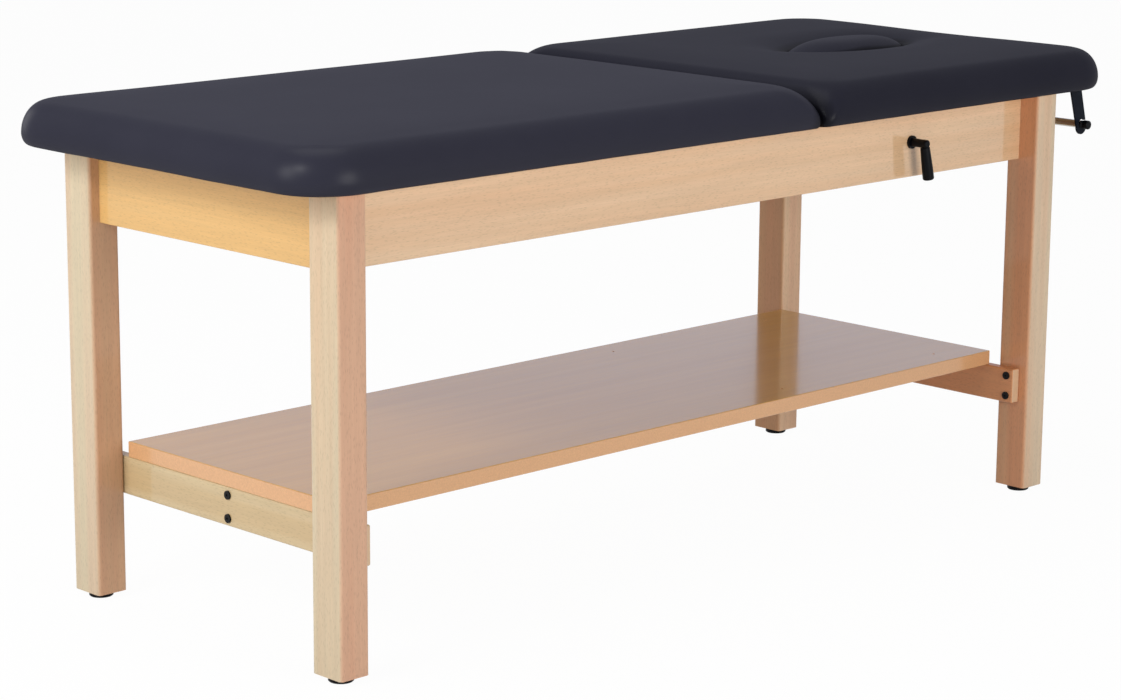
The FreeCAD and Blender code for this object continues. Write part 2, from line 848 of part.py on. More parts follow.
def paper_bracket(side):
    """Strip that hangs from a flange under the board; the rod lies in a slot, open toward the head end."""
    y_face = side * paper_bracket_y
    inward = Y * -side
    top_x = rod_x - paper_bracket_lean
    half = paper_bracket_width / 2
    lobe = paper_bracket_lobe_radius
    lobe_z = rod_z - paper_bracket_lobe_drop
    corners = [V(top_x - half, y_face, frame_top), V(top_x + half, y_face, frame_top),
               V(rod_x + lobe, y_face, lobe_z), V(rod_x - lobe, y_face, lobe_z)]
    strip = Part.Face(Part.makePolygon(corners + corners[:1])).extrude(inward * paper_bracket_thickness)
    end = rod(V(rod_x, y_face, lobe_z), inward, lobe, paper_bracket_thickness)
    flange = block(top_x - half, top_x + half, y_face, y_face - side * paper_bracket_flange,
                   frame_top - paper_bracket_thickness, frame_top)
    bracket = strip.fuse(end).fuse(flange).removeSplitter()
    start = y_face + side * overrun
    through = paper_bracket_thickness + 2 * overrun
    slot_floor = rod_z - rod_radius - running_gap
    seat = rod(V(rod_x, start, slot_floor + slot_seat_radius), inward, slot_seat_radius, through)
    mouth = block(rod_x, rod_x + paper_bracket_width, start, start - side * through,
                  slot_floor, rod_z + slot_mouth_rise)
    bracket = largest(bracket.cut(seat).cut(mouth))
    return drill(bracket, [wood_screw_hole(place, Z) for place in paper_screw_places(side)])


def largest(shape):
    return max(shape.Solids, key=lambda solid: solid.Volume)


def paper_screw_places(side):
    middle = side * (paper_bracket_y - (paper_bracket_flange + paper_bracket_thickness) / 2)
    return [V(rod_x - paper_bracket_lean + step * paper_bracket_screw_pitch / 2, middle,
              frame_top - paper_bracket_thickness) for step in (-1, 1)]


def paper_bracket_screw_holes():
    return [wood_screw_hole(place, Z) for _, side in sides for place in paper_screw_places(side)]


def paper_bracket_screws():
    return group([wood_screw(place, Z) for _, side in sides for place in paper_screw_places(side)])


def paper_rod():
    return rod(V(rod_x, -rod_end_y, rod_z), Y, rod_radius, 2 * rod_end_y)


def paper_rod_knobs():
    """Caps over the rod's ends."""
    solids = []
    for _, side in sides:
        start = V(rod_x, side * (rod_end_y - knob_length + knob_wall), rod_z)
        cap = rod(start, Y * side, knob_radius, knob_length)
        outer = [edge for edge in cap.Edges if abs(edge.CenterOfMass.y) > rod_end_y]
        cap = cap.makeFillet(knob_edge, outer)
        solids.append(cap.cut(rod(start - Y * side * overrun, Y * side, rod_radius,
                                  knob_length - knob_wall + overrun)))
    return group(solids)


def pieces():
    """Every piece by name."""
    table = {}
    for end_name, end in ends:
        for side_name, side in sides:
            table[f"leg_{end_name}_{side_name}"] = leg(end, side)
        table[f"rail_{end_name}"] = end_rail(end)
        table[f"stretcher_{end_name}"] = stretcher(end)
    for side_name, side in sides:
        table[f"rail_{side_name}"] = long_rail(side)
        table[f"hinge_leaf_main_{side_name}"] = hinge_parts(side, -1)
        table[f"hinge_leaf_head_{side_name}"] = hinge_parts(side, 1)
        table[f"hinge_pin_{side_name}"] = hinge_pin(side)
        table[f"paper_bracket_{side_name}"] = paper_bracket(side)
    table.update({
        "leg_glides": leg_glides(),
        "rail_cross": cross_rail(),
        "rail_dowels": group(long_rail_dowels() + end_rail_dowels() + cross_rail_dowels()),
        "shelf": shelf(),
        "shelf_beam": shelf_beam(),
        "shelf_dowels": group(shelf_dowels()),
        "stretcher_bolts": group(stretcher_bolts()),
        "beam_bolts": group(beam_bolts()),
        "leg_inserts": threaded(leg_inserts(), stretcher_bolts()),
        "beam_barrel_nuts": threaded(beam_barrels(), beam_bolts()),
        "main_board": main_board(),
        "main_cushion": main_cushion(),
        "head_board": head_board(),
        "head_cushion": head_cushion(),
        "plug_board": plug_board(),
        "plug_cushion": plug_cushion(),
        "hinge_screws_main": hinge_screws(-1),
        "hinge_screws_head": hinge_screws(1),
        "board_brackets": board_brackets(),
        "board_bracket_screws": bracket_screws(),
        "clamp_stud": clamp_stud(),
        "friction_washer": friction_washer(),
        "stay_arm": stay_arm(),
        "stay_glide": stay_glide(),
        "stay_pin": stay_pin(),
        "stay_track": stay_track(),
        "track_screws": track_screws(),
        "clamp_lever": clamp_lever(),
        "lever_insert": lever_insert(),
        "paper_bracket_screws": paper_bracket_screws(),
        "paper_rod": paper_rod(),
        "paper_rod_knobs": paper_rod_knobs(),
    })
    return table


os.makedirs("parts", exist_ok=True)
for name, shape in sorted(pieces().items()):
    print(name, len(shape.Solids), "valid" if shape.isValid() else "NOT VALID")
    shape.exportStep(f"parts/{name}.step")
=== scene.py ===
import bmesh
import bpy
import json
import math
from mathutils import Matrix, Vector, noise

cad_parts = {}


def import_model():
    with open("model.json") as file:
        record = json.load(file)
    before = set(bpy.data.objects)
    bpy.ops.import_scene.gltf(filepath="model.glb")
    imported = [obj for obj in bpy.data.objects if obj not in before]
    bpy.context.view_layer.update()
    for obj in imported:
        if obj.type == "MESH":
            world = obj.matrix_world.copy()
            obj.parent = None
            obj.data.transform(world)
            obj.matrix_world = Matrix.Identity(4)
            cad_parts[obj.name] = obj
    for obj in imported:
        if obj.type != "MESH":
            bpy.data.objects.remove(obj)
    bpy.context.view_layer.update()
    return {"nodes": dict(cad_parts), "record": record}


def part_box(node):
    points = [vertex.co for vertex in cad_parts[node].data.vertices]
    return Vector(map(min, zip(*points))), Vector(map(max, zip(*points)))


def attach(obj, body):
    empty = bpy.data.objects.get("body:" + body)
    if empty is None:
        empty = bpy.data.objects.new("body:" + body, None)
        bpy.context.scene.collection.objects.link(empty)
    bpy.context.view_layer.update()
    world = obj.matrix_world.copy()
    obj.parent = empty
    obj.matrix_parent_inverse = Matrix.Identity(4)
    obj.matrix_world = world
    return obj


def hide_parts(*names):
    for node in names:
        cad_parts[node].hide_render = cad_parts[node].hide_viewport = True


# Treatment table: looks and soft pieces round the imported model. Metres, in the model's own frame.

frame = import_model()
nodes = frame["nodes"]
scene = bpy.context.scene
scene.view_settings.view_transform = "Standard"
MM = 0.001
WHITE = (1.0, 1.0, 1.0, 1.0)

# Camera, fitted to the edges of legs, glides and pads; pixels of a 1121 x 700 picture
PHOTO_WIDTH = 1121
FOCAL_PX = 3085.0
SENSOR_MM = 36.0
CAMERA_PLACE = Vector((-3.536, -3.528, 1.409))
CAMERA_YAW_DEG = 44.383
CAMERA_PITCH_DEG = -12.296
CAMERA_ROLL_DEG = 0.4

# Sockets of the mix node when it mixes colours
MIX_SHARE, MIX_FIRST, MIX_SECOND, MIX_RESULT = 0, 6, 7, 2

# Scale of wood patterns along the grain, as a share of their scale across it
GRAIN_SQUEEZE = 0.03
FLECK_SQUEEZE = 0.22

# Weight of the clear lacquer
RAIL_GLOSS = 0.9
FOOT_GLOSS = 0.5
LEG_GLOSS = 0.3

# Painted shade at the split and round the face opening: ramp units per metre away from the split or
# the opening, and the ramp's place for the edge of the face opening
SHADE_RAMP_UNITS = 10.0
SHADE_RAMP_EDGE = 0.5

# Sides and crown of the pads
LOWER_HEIGHT = 23 * MM
LOWER_INSET = 11 * MM
LOWER_LIFT = 3 * MM
UPPER_INSET = 39 * MM
CROWN = 3 * MM
CROWN_RUN = 130 * MM
CROWN_CORNER = 23 * MM
OUTER_CORNER = 93 * MM
BOARD_INSET = 27 * MM

# Sides of the pads at the split between the two sections
SPLIT_CORNER = 22 * MM
SPLIT_LOW_CORNER = 9 * MM
SPLIT_TOP_CORNER = 62 * MM
SPLIT_PLEAT = 0.7 * MM
SPLIT_LOWER_INSET = 3 * MM
SPLIT_BOARD_INSET = 6 * MM

# Pull of the cover between the corners and waver of its lower edge, between two shares of the height
SIDE_PULL = 2.5 * MM
SIDE_PULL_POWER = 3
END_PULL_POWER = 9
WAVER_DEPTH = 0.9 * MM
WAVER_SCALE = 14
WAVER_SLICE = 3.0
WAVER_FROM = 0.02
WAVER_TO = 0.5

# Face opening and plug
PLUG_GAP = 0.8 * MM
RIM_RADIUS = 8 * MM
DISH_RUN = 110 * MM
DISH_DEPTH = 16 * MM
DISH_POWER = 2.5
PLUG_GROOVE = 4 * MM
PLUG_DOME = 22.5 * MM
PLUG_DOME_POWER = 4

# Meshes of the pads
MESH_STEP = 14 * MM
STEPS_CORNER = 12
STEPS_LOWER = 5
STEPS_UPPER = 8
HOLE_STEPS = 30
RIM_STEPS = 5
WALL_SHARES = (0.5, 1.0)
DISH_TRIES = 24
PLUG_STEPS = 96
PLUG_RINGS = 9
PLUG_SIDE_SHARES = (0.5, 0.92, 1.0)
PLUG_DOME_RINGS = 16
PLUG_DOME_SPREAD = 1.3
MERGE_DISTANCE = 0.01 * MM

# Swelling of the pads; PLUG_HELD is how far above the head section's board the plug is held
SWELL_CAP = 2.0 * MM
PLUG_SWELL_CAP = 0.6 * MM
PLUG_HELD = 20 * MM
SWELL_FRAMES = 20
SWELL_EVEN_PASSES = 30
SWELL_CLOTH = {
    "quality": 6,
    "mass": 0.4,
    "tension_stiffness": 40,
    "compression_stiffness": 40,
    "shear_stiffness": 20,
    "bending_stiffness": 8,
    "use_pressure": True,
    "uniform_pressure_force": 4.0,
}
TINY = 1e-9

# Floor and surroundings; the glossy shares dim what a polished face mirrors
FLOOR_HALF = 30.0
FLOOR_GREY = (0.84, 0.84, 0.84, 1.0)
FLOOR_WHITE_SHARE = 0.97
FLOOR_GLOSSY_SHARE = 0.85
WORLD_FILL = 0.26
WORLD_SEEN = 0.74
WORLD_GLOSSY_SHARE = 0.70
WORLD_GLOSSY_TINT = (0.91, 0.92, 1.06, 1.0)

# Lamps: name, place, target, size, watts and colour
WARM_LIGHT = (1.0, 0.99, 0.97)
PLAIN_LIGHT = (1.0, 1.0, 1.0)
LAMPS = (
    ("front", (-0.2, -4.4, 1.2), (-0.1, 0.0, 0.45), 2.0, 86, WARM_LIGHT),
    ("left", (-3.6, 0.5, 1.7), (-0.5, 0.0, 0.45), 1.4, 42, PLAIN_LIGHT),
    ("corner", (-3.6, -0.6, 2.6), (-0.5, -0.1, 0.6), 0.9, 46, PLAIN_LIGHT),
    ("back", (-1.0, 4.5, 1.4), (0.0, 0.0, 0.45), 2.0, 26, WARM_LIGHT),
    ("top", (-0.4, 0.4, 3.4), (-0.4, 0.0, 0.7), 2.4, 28, PLAIN_LIGHT),
)

# The split, and the face opening, which the plug fills
split_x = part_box("main_cushion")[1].x
plug_low, plug_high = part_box("plug_cushion")
opening_centre = (plug_low + plug_high) / 2
opening_half_length = (plug_high.x - plug_low.x) / 2
opening_half_width = (plug_high.y - plug_low.y) / 2


# Shader building

def srgb(red, green, blue):
    """A colour as it looks on a screen, 0 to 255, in the shader's linear values."""
    def linear(value):
        share = value / 255
        return share / 12.92 if share <= 0.04045 else ((share + 0.055) / 1.055) ** 2.4
    return (linear(red), linear(green), linear(blue), 1.0)


def start_material(name):
    """A new material, its node tree and its main shader."""
    material = bpy.data.materials.new(name)
    material.use_nodes = True
    tree = material.node_tree
    return material, tree, tree.nodes["Principled BSDF"]


def feed(tree, node, inputs):
    """Gives a node its inputs: sockets are linked and values are set."""
    for key, value in inputs.items():
        if isinstance(value, bpy.types.NodeSocket):
            tree.links.new(value, node.inputs[key])
        else:
            node.inputs[key].default_value = value


def add(tree, kind, inputs=None, **settings):
    """One node with its settings and inputs."""
    made = tree.nodes.new(kind)
    for key, value in settings.items():
        setattr(made, key, value)
    feed(tree, made, inputs or {})
    return made


def math_node(tree, operation, *values):
    return add(tree, "ShaderNodeMath", dict(enumerate(values)), operation=operation).outputs[0]


def mix_colour(tree, share, first, second, blend="MIX"):
    made = add(tree, "ShaderNodeMix", {MIX_SHARE: share, MIX_FIRST: first, MIX_SECOND: second},
               data_type="RGBA", blend_type=blend)
    return made.outputs[MIX_RESULT]


def shade(tree, colour, by, share=1.0):
    """A colour multiplied by a grey or a tint, by a share of its full effect."""
    return mix_colour(tree, share, colour, by, "MULTIPLY")


def ramp(tree, value, *stops):
    """A grey that follows a value; stops are (value, grey)."""
    made = add(tree, "ShaderNodeValToRGB", {"Fac": value})
    elements = made.color_ramp.elements
    for place, _ in stops[len(elements):]:
        elements.new(place)
    for element, (place, grey) in zip(elements, stops):
        element.position = place
        element.color = (grey, grey, grey, 1.0)
    return made.outputs["Color"]


def bump(tree, height, strength, distance, under=None):
    """A normal bent by the slopes of a height, over another bent normal where one is given."""
    inputs = {"Height": height, "Strength": strength, "Distance": distance}
    if under is not None:
        inputs["Normal"] = under
    return add(tree, "ShaderNodeBump", inputs).outputs["Normal"]


def object_place(tree):
    return add(tree, "ShaderNodeTexCoord").outputs["Object"]


def mapped(tree, place, scale, shift=(0.0, 0.0, 0.0)):
    made = add(tree, "ShaderNodeMapping", {"Vector": place, "Location": shift, "Scale": scale})
    return made.outputs["Vector"]


def squeezed(axis, share):
    """Scales of a pattern that is drawn out along one axis."""
    return tuple(share if each == axis else 1.0 for each in "XYZ")


def noise_value(tree, place, scale, detail=3.0, roughness=0.55, distortion=0.0):
    made = add(tree, "ShaderNodeTexNoise", {"Vector": place, "Scale": scale, "Detail": detail,
                                            "Roughness": roughness, "Distortion": distortion})
    return made.outputs["Fac"]


def cells(tree, place, scale, feature):
    made = add(tree, "ShaderNodeTexVoronoi", {"Vector": place, "Scale": scale}, feature=feature)
    return made.outputs["Distance"]


def axes(tree, vector):
    return add(tree, "ShaderNodeSeparateXYZ", {"Vector": vector}).outputs


def facing(tree, axis):
    """How far a face looks along an axis, either way, 0 to 1."""
    normal = add(tree, "ShaderNodeNewGeometry").outputs["Normal"]
    return math_node(tree, "ABSOLUTE", axes(tree, normal)[axis])


def wood(name, grain, pale, warm, shift, painted_shading_x=None, painted_shading_y=None, end=None, gloss=RAIL_GLOSS):
    """Lacquered beech with its grain along one axis and its pattern moved by shift.
    Tints for the faces that look along X or Y are painted light and shade, for how the lamps fall on
    those faces; end is the colour of sawn ends."""
    material, tree, shader = start_material(name)
    place = object_place(tree)
    along = mapped(tree, place, squeezed(grain, GRAIN_SQUEEZE), shift)
    staves = noise_value(tree, along, scale=24.0, detail=2.0, roughness=0.5)
    colour = mix_colour(tree, ramp(tree, staves, (0.40, 0.0), (0.60, 1.0)), pale, warm)
    streaks = noise_value(tree, along, scale=105.0, distortion=0.15)
    colour = shade(tree, colour, ramp(tree, streaks, (0.30, 0.92), (0.70, 1.05)), share=0.7)
    fibres = noise_value(tree, along, scale=560.0, detail=2.0, roughness=0.6)
    colour = shade(tree, colour, ramp(tree, fibres, (0.30, 0.92), (0.65, 1.04)), share=0.6)
    short = mapped(tree, place, squeezed(grain, FLECK_SQUEEZE), shift)
    flecks = cells(tree, short, scale=420.0, feature="F1")
    colour = shade(tree, colour, ramp(tree, flecks, (0.10, 0.70), (0.38, 1.0)), share=0.55)
    # Painted light and shade: faces that look along X or Y are multiplied by their tint.
    for axis, tint in (("X", painted_shading_x), ("Y", painted_shading_y)):
        if tint:
            share = ramp(tree, facing(tree, axis), (0.3, 0.0), (0.97, 1.0))
            colour = mix_colour(tree, share, colour, shade(tree, colour, tint))
    if end:
        share = ramp(tree, facing(tree, grain), (0.7, 0.0), (0.9, 0.75))
        dots = noise_value(tree, place, scale=900.0, detail=2.0)
        speckle = ramp(tree, dots, (0.3, 0.86), (0.7, 1.0))
        colour = mix_colour(tree, share, colour, shade(tree, end, speckle))
    feed(tree, shader, {
        "Base Color": colour,
        "Roughness": ramp(tree, fibres, (0.2, 0.42), (0.8, 0.54)),
        "Coat Weight": gloss,
        "Coat Roughness": 0.06,
        "Coat IOR": 1.8,
        "Specular IOR Level": 0.2,
        "Normal": bump(tree, fibres, strength=0.06, distance=0.3 * MM),
    })
    return material


def oval_distance(tree, place, centre, half_length, half_width):
    """How far outside an oval a place lies, seen from above; less than 0 inside."""
    offset = add(tree, "ShaderNodeVectorMath", {0: place, 1: centre}, operation="SUBTRACT").outputs[0]
    parts = axes(tree, offset)

    def reach(first, second):
        squares = [math_node(tree, "POWER", math_node(tree, "ABSOLUTE", value), 2.0)
                   for value in (first, second)]
        return math_node(tree, "SQRT", math_node(tree, "ADD", *squares))

    out = reach(parts["X"], parts["Y"])
    share = reach(math_node(tree, "DIVIDE", parts["X"], half_length),
                  math_node(tree, "DIVIDE", parts["Y"], half_width))
    return math_node(tree, "SUBTRACT", out, math_node(tree, "DIVIDE", out, share))


def vinyl(name, base, sheen, coat, opening=None):
    """Smooth upholstery vinyl with a fine pressed grain, with painted shade towards the split
    and in a ring round an opening."""
    material, tree, shader = start_material(name)
    place = object_place(tree)
    cloud = noise_value(tree, place, scale=7.0, detail=2.0)
    colour = mix_colour(tree, ramp(tree, cloud, (0.35, 0.0), (0.65, 1.0)), base, sheen)
    # Painted shade: the vinyl gets darker towards the split between the pads, for the shade in the
    # gap there.
    from_split = math_node(tree, "SUBTRACT", axes(tree, place)["X"], split_x)
    away = math_node(tree, "MULTIPLY", math_node(tree, "ABSOLUTE", from_split), SHADE_RAMP_UNITS)
    colour = shade(tree, colour, ramp(tree, away, (0.06, 0.22), (0.30, 1.0)))
    # Painted shade: a dark ring from just inside to just outside the face opening's edge, for the
    # shade in the groove round the plug.
    if opening:
        away = math_node(tree, "MULTIPLY", oval_distance(tree, place, *opening), SHADE_RAMP_UNITS)
        away = math_node(tree, "ADD", away, SHADE_RAMP_EDGE)
        ring_shade = ramp(tree, away, (0.40, 1.0), (0.46, 0.18), (0.60, 0.18), (0.85, 1.0))
        colour = shade(tree, colour, ring_shade)
    fine = noise_value(tree, place, scale=1600.0, detail=2.0)
    soft = noise_value(tree, place, scale=9.0, detail=2.0)
    pores = cells(tree, place, scale=800.0, feature="DISTANCE_TO_EDGE")
    grain = ramp(tree, pores, (0.0, 0.0), (0.22, 1.0))
    uneven = bump(tree, soft, strength=0.12, distance=3 * MM)
    feed(tree, shader, {
        "Base Color": colour,
        "Roughness": ramp(tree, fine, (0.3, 0.40), (0.7, 0.50)),
        "Specular IOR Level": 0.0,
        "Coat Weight": coat,
        "Coat Roughness": 0.36,
        "Normal": bump(tree, grain, strength=0.10, distance=0.25 * MM, under=uneven),
    })
    return material


def moulded(name, base, light, rough, grain_scale=1500.0, grain_depth=0.12, specular=0.45):
    """Plastic or powder-coated metal with a fine grain."""
    material, tree, shader = start_material(name)
    place = object_place(tree)
    grain = noise_value(tree, place, grain_scale)
    cloud = noise_value(tree, place, scale=60.0)
    feed(tree, shader, {
        "Base Color": mix_colour(tree, ramp(tree, cloud, (0.3, 0.0), (0.7, 1.0)), base, light),
        "Roughness": ramp(tree, grain, (0.25, rough - 0.06), (0.75, rough + 0.08)),
        "Specular IOR Level": specular,
        "Normal": bump(tree, grain, grain_depth, distance=0.3 * MM),
    })
    return material


def metal(name, base, dark, rough, stretch=(1.0, 1.0, 1.0)):
    """Plated or turned metal with fine drawn lines."""
    material, tree, shader = start_material(name)
    lines = noise_value(tree, mapped(tree, object_place(tree), stretch), scale=700.0)
    feed(tree, shader, {
        "Base Color": mix_colour(tree, ramp(tree, lines, (0.3, 0.0), (0.7, 0.5)), base, dark),
        "Roughness": ramp(tree, lines, (0.3, rough - 0.05), (0.7, rough + 0.08)),
        "Metallic": 1.0,
        "Normal": bump(tree, lines, strength=0.05, distance=0.2 * MM),
    })
    return material


def edge_share(tree):
    """1 on the edges of a lying board and 0 on its flat faces."""
    return ramp(tree, facing(tree, "Z"), (0.45, 1.0), (0.75, 0.0))


def veneer(name, top, top_warm, edge):
    """Glossy veneered board: the flat faces and the edge bands differ."""
    material, tree, shader = start_material(name)
    place = object_place(tree)
    along = mapped(tree, place, squeezed("X", GRAIN_SQUEEZE))
    bands = noise_value(tree, along, scale=30.0, detail=4.0, distortion=0.3)
    colour = mix_colour(tree, ramp(tree, bands, (0.35, 0.0), (0.65, 1.0)), top, top_warm)
    fibres = noise_value(tree, along, scale=520.0, detail=2.0, roughness=0.6)
    colour = shade(tree, colour, ramp(tree, fibres, (0.3, 0.90), (0.65, 1.03)), share=0.8)
    speckle = ramp(tree, noise_value(tree, place, scale=380.0), (0.3, 0.90), (0.7, 1.05))
    feed(tree, shader, {
        "Base Color": mix_colour(tree, edge_share(tree), colour, shade(tree, edge, speckle)),
        "Roughness": ramp(tree, fibres, (0.2, 0.34), (0.8, 0.42)),
        "Coat Weight": 1.0,
        "Coat Roughness": 0.13,
        "Specular IOR Level": 0.2,
        "Normal": bump(tree, fibres, strength=0.05, distance=0.3 * MM),
    })
    return material


def plywood(name, face, line):
    """Bare plywood: face grain on the flats and layers along the edges."""
    material, tree, shader = start_material(name)
    place = object_place(tree)
    along = mapped(tree, place, squeezed("X", GRAIN_SQUEEZE))
    grain = noise_value(tree, along, scale=45.0, detail=4.0, roughness=0.6, distortion=0.6)
    colour = mix_colour(tree, ramp(tree, grain, (0.35, 0.0), (0.7, 0.6)), face, line)
    layers = add(tree, "ShaderNodeTexWave", {"Vector": place, "Scale": 90.0, "Distortion": 0.4},
                 bands_direction="Z").outputs["Fac"]
    layered = mix_colour(tree, ramp(tree, layers, (0.35, 0.0), (0.65, 0.8)), face, line)
    feed(tree, shader, {
        "Base Color": mix_colour(tree, edge_share(tree), colour, layered),
        "Roughness": 0.65,
        "Normal": bump(tree, grain, strength=0.15, distance=0.5 * MM),
    })
    return material


# Materials by node

PALE_BEECH = srgb(220, 199, 167)
PINK_BEECH = srgb(222, 190, 160)
GOLD_BEECH = srgb(218, 178, 116)
LEG_BEECH = srgb(206, 190, 160)
# Face tints: painted shade that darkens leg faces turned from the lamps, and one warm tint that is
# painted light.
PINK_FACE_SHADE = (1.02, 0.72, 0.68, 1.0)
WARM_FACE_LIGHT = (1.08, 0.97, 0.92, 1.0)
BROWN_FACE_SHADE = (0.68, 0.48, 0.34, 1.0)
TAN_FACE_SHADE = (0.96, 0.73, 0.63, 1.0)
DEEP_FACE_SHADE = (0.96, 0.67, 0.52, 1.0)

looks = {
    # The legs' face tints are painted shade, and on one leg also painted light.
    "leg_foot_front": wood("beech_leg_a", "Z", LEG_BEECH, srgb(209, 182, 150), (0.3, 0.1, 0.0),
                           painted_shading_y=PINK_FACE_SHADE, gloss=LEG_GLOSS),
    "leg_foot_back": wood("beech_leg_b", "Z", LEG_BEECH, srgb(208, 184, 155), (1.7, 0.9, 0.4),
                          painted_shading_y=TAN_FACE_SHADE, gloss=LEG_GLOSS),
    "leg_head_front": wood("beech_leg_c", "Z", srgb(215, 195, 167), srgb(218, 184, 152),
                           (2.9, 2.2, 0.8), painted_shading_x=DEEP_FACE_SHADE, gloss=LEG_GLOSS),
    "leg_head_back": wood("beech_leg_d", "Z", PALE_BEECH, PINK_BEECH, (4.1, 3.3, 1.2),
                          painted_shading_x=BROWN_FACE_SHADE, painted_shading_y=WARM_FACE_LIGHT, gloss=LEG_GLOSS),
    "rail_front": wood("beech_rail_a", "X", srgb(225, 190, 151), srgb(222, 182, 141),
                       (0.2, 0.7, 0.5)),
    "rail_back": wood("beech_rail_b", "X", PALE_BEECH, PINK_BEECH, (1.2, 1.7, 1.5)),
    "rail_foot": wood("beech_rail_c", "Y", GOLD_BEECH, srgb(217, 174, 109), (2.2, 2.7, 2.5),
                      gloss=FOOT_GLOSS),
    "rail_head": wood("beech_rail_d", "Y", GOLD_BEECH, PINK_BEECH, (3.2, 3.7, 3.5)),
    "rail_cross": wood("beech_rail_e", "Y", PALE_BEECH, PINK_BEECH, (4.2, 4.7, 4.5)),
    "stretcher_foot": wood("beech_stretcher_a", "Y", srgb(205, 185, 146), srgb(199, 173, 130),
                           (5.2, 5.7, 5.5), end=srgb(220, 184, 150), gloss=FOOT_GLOSS),
    # Painted shade: the head stretcher is a deeper, oranger beech for the shade and warm bounce light
    # under the table.
    "stretcher_head": wood("beech_stretcher_b", "Y", srgb(218, 152, 104), srgb(206, 140, 92),
                           (6.2, 6.7, 6.5), end=srgb(222, 194, 160), gloss=LEG_GLOSS),
    "shelf_beam": wood("beech_beam", "X", PALE_BEECH, PINK_BEECH, (7.2, 7.7, 7.5)),
    "shelf": veneer("shelf_veneer", srgb(209, 158, 66), srgb(202, 151, 59), srgb(218, 167, 120)),
}
dowel = wood("dowel_wood", "X", PALE_BEECH, GOLD_BEECH, (8.2, 8.7, 8.5))
ply = plywood("bare_plywood", srgb(214, 182, 142), srgb(172, 132, 92))
opening = (opening_centre, opening_half_length, opening_half_width)
upholstery = vinyl("charcoal_vinyl", srgb(42, 42, 53), srgb(44, 44, 55), coat=0.2)
# Painted shade: the head section's vinyl is a darker copy of the main pad's, for the light that falls
# off towards the head end.
shaded_head_upholstery = vinyl("charcoal_vinyl_head_shaded", srgb(31, 31, 41), srgb(33, 33, 43), coat=0.19,
                        opening=opening)
plug_upholstery = vinyl("charcoal_vinyl_plug", srgb(43, 43, 53), srgb(45, 45, 55), coat=0.19,
                        opening=opening)
bolt_black = moulded("black_bolt", srgb(16, 16, 18), srgb(22, 22, 24), rough=0.34,
                     grain_scale=900.0, grain_depth=0.05, specular=0.12)
coat_black = moulded("black_powder_coat", srgb(13, 17, 26), srgb(18, 23, 33), rough=0.42,
                     specular=0.06)
plastic_black = moulded("black_moulding", srgb(8, 9, 12), srgb(12, 13, 17), rough=0.32,
                        specular=0.09)
zinc = metal("zinc_plate", srgb(190, 190, 192), srgb(150, 150, 154), rough=0.3,
             stretch=(1.0, 8.0, 1.0))
bright = metal("bright_rod", srgb(205, 200, 190), srgb(150, 138, 120), rough=0.16,
               stretch=(8.0, 0.2, 8.0))
turned_brass = metal("turned_brass", srgb(206, 172, 96), srgb(168, 132, 66), rough=0.25)
fibre_brown = moulded("pressed_fibre", srgb(120, 84, 62), srgb(134, 96, 72), rough=0.7,
                      grain_scale=700.0, grain_depth=0.3, specular=0.25)
nylon_white = moulded("natural_nylon", srgb(220, 218, 208), srgb(228, 226, 217), rough=0.42,
                      grain_scale=1200.0, grain_depth=0.05)

by_slot = {
    "dowel_wood": dowel,
    "plywood": ply,
    "vinyl": upholstery,
    "black_bolt": bolt_black,
    "black_steel": coat_black,
    "steel": zinc,
    "bright_rod": bright,
    "black_plastic": plastic_black,
    "fibre": fibre_brown,
    "nylon": nylon_white,
    "brass": turned_brass,
}
for subpart in frame["record"]["subparts"]:
    name = subpart["node"]
    material = looks.get(name) or by_slot[subpart["material_slot"]]
    for slot in nodes[name].material_slots:
        slot.link = "OBJECT"
        slot.material = material


# Pads

def corner_points(centre, radius, first_deg, last_deg, steps, pleat):
    """Points round a corner; every second one is drawn in by the depth of a pleat."""
    points = []
    for step in range(steps):
        turn = math.radians(first_deg + (last_deg - first_deg) * step / steps)
        reach = radius - pleat * (step % 2)
        points.append(centre + Vector((math.cos(turn), math.sin(turn))) * reach)
    return points


def side_points(first, last, steps):
    return [first.lerp(last, step / steps) for step in range(steps)]


def rounded_ring(x0, x1, y, radii, pleats, steps_x, steps_y):
    """Points round a rectangle with rounded corners, from the middle of the low-X, low-Y corner.
    radii and pleats start at that corner and go round by high X."""
    r0, r1, r2, r3 = radii
    p0, p1, p2, p3 = pleats
    half = STEPS_CORNER // 2
    c0, c1 = Vector((x0 + r0, -y + r0)), Vector((x1 - r1, -y + r1))
    c2, c3 = Vector((x1 - r2, y - r2)), Vector((x0 + r3, y - r3))
    points = corner_points(c0, r0, 225, 270, half, p0)
    points += side_points(Vector((x0 + r0, -y)), Vector((x1 - r1, -y)), steps_x)
    points += corner_points(c1, r1, 270, 360, STEPS_CORNER, p1)
    points += side_points(Vector((x1, -y + r1)), Vector((x1, y - r2)), steps_y)
    points += corner_points(c2, r2, 0, 90, STEPS_CORNER, p2)
    points += side_points(Vector((x1 - r2, y)), Vector((x0 + r3, y)), steps_x)
    points += corner_points(c3, r3, 90, 180, STEPS_CORNER, p3)
    points += side_points(Vector((x0, y - r3)), Vector((x0, -y + r0)), steps_y)
    points += corner_points(c0, r0, 180, 225, half, p0)
    return points


def pad_levels(thickness):
    """Height, draw-in at the free edges and at the split for each ring, from the lower edge
    to the start of the crown."""
    levels = []
    for step in range(STEPS_LOWER + 1):
        turn = math.pi / 2 * step / STEPS_LOWER
        inward = 1 - math.sin(turn)
        height = LOWER_LIFT + (LOWER_HEIGHT - LOWER_LIFT) * (1 - math.cos(turn))
        levels.append((height, LOWER_INSET * inward, SPLIT_LOWER_INSET * inward))
    rise = thickness - CROWN - LOWER_HEIGHT
    for step in range(1, STEPS_UPPER + 1):
        turn = math.pi / 2 * step / STEPS_UPPER
        inward = UPPER_INSET * (1 - math.cos(turn))
        levels.append((LOWER_HEIGHT + rise * math.sin(turn), inward, inward))
    return levels


